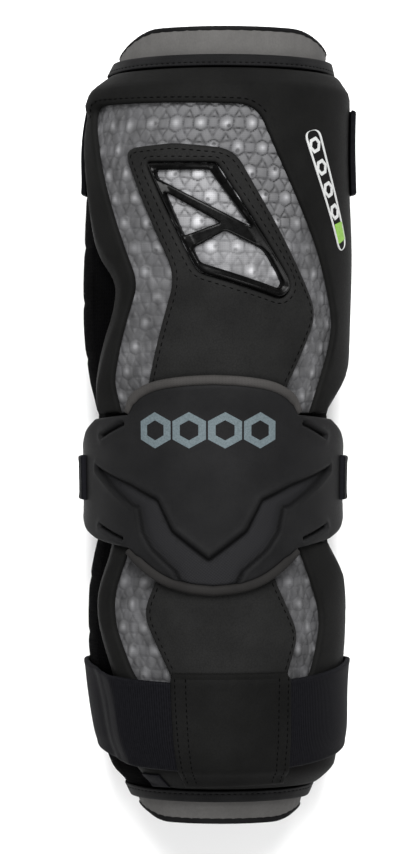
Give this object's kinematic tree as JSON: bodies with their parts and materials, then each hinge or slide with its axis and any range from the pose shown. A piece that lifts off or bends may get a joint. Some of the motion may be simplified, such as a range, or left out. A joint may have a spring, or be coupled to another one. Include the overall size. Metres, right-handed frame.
{
  "type": "lacrosse arm pad",
  "caption": "Padded sleeve for a lacrosse player's arm, with a bicep guard, an elbow cap and a forearm guard, held on by elastic straps.",
  "frame": {"origin": "under the middle of the pad, on the surface that its back rests on", "axes": "+Y along the arm from the wrist end to the bicep end, +Z out of the front of the elbow cap, +X to the right as seen from the front"},
  "size_m": [0.1318, 0.368, 0.1123],
  "materials": {
    "liner_fabric": "brushed grey tricot",
    "mesh_fabric": "black spacer mesh",
    "cell_foam": "moulded foam cells under fine mesh",
    "cover_leather": "matt fine-grained synthetic leather",
    "frame_plastic": "glossy moulded frame",
    "cap_plastic": "matt moulded cap",
    "binding_fabric": "grey folded binding",
    "strap_elastic": "black ribbed elastic"
  },
  "bodies": {
    "root": {"inner_liner": "liner_fabric", "padded_sleeve": "mesh_fabric", "upper_cuff_edge": "strap_elastic", "lower_cuff_edge": "strap_elastic", "upper_sleeve_binding": "cover_leather", "lower_sleeve_binding": "cover_leather", "upper_cell_pad": "cell_foam", "upper_shell": "cover_leather", "upper_centre_panel": "cover_leather", "window_frame": "frame_plastic", "lower_cell_pad": "cell_foam", "lower_shell": "cover_leather", "lower_centre_panel": "cover_leather", "elbow_cap": "cap_plastic", "cap_top_binding": "cover_leather", "cap_bottom_binding": "binding_fabric", "upper_strap": "strap_elastic", "elbow_strap": "strap_elastic", "lower_strap": "strap_elastic", "strap_keeper": "cover_leather", "pull_tab": "strap_elastic"}
  },
  "joints": []
}
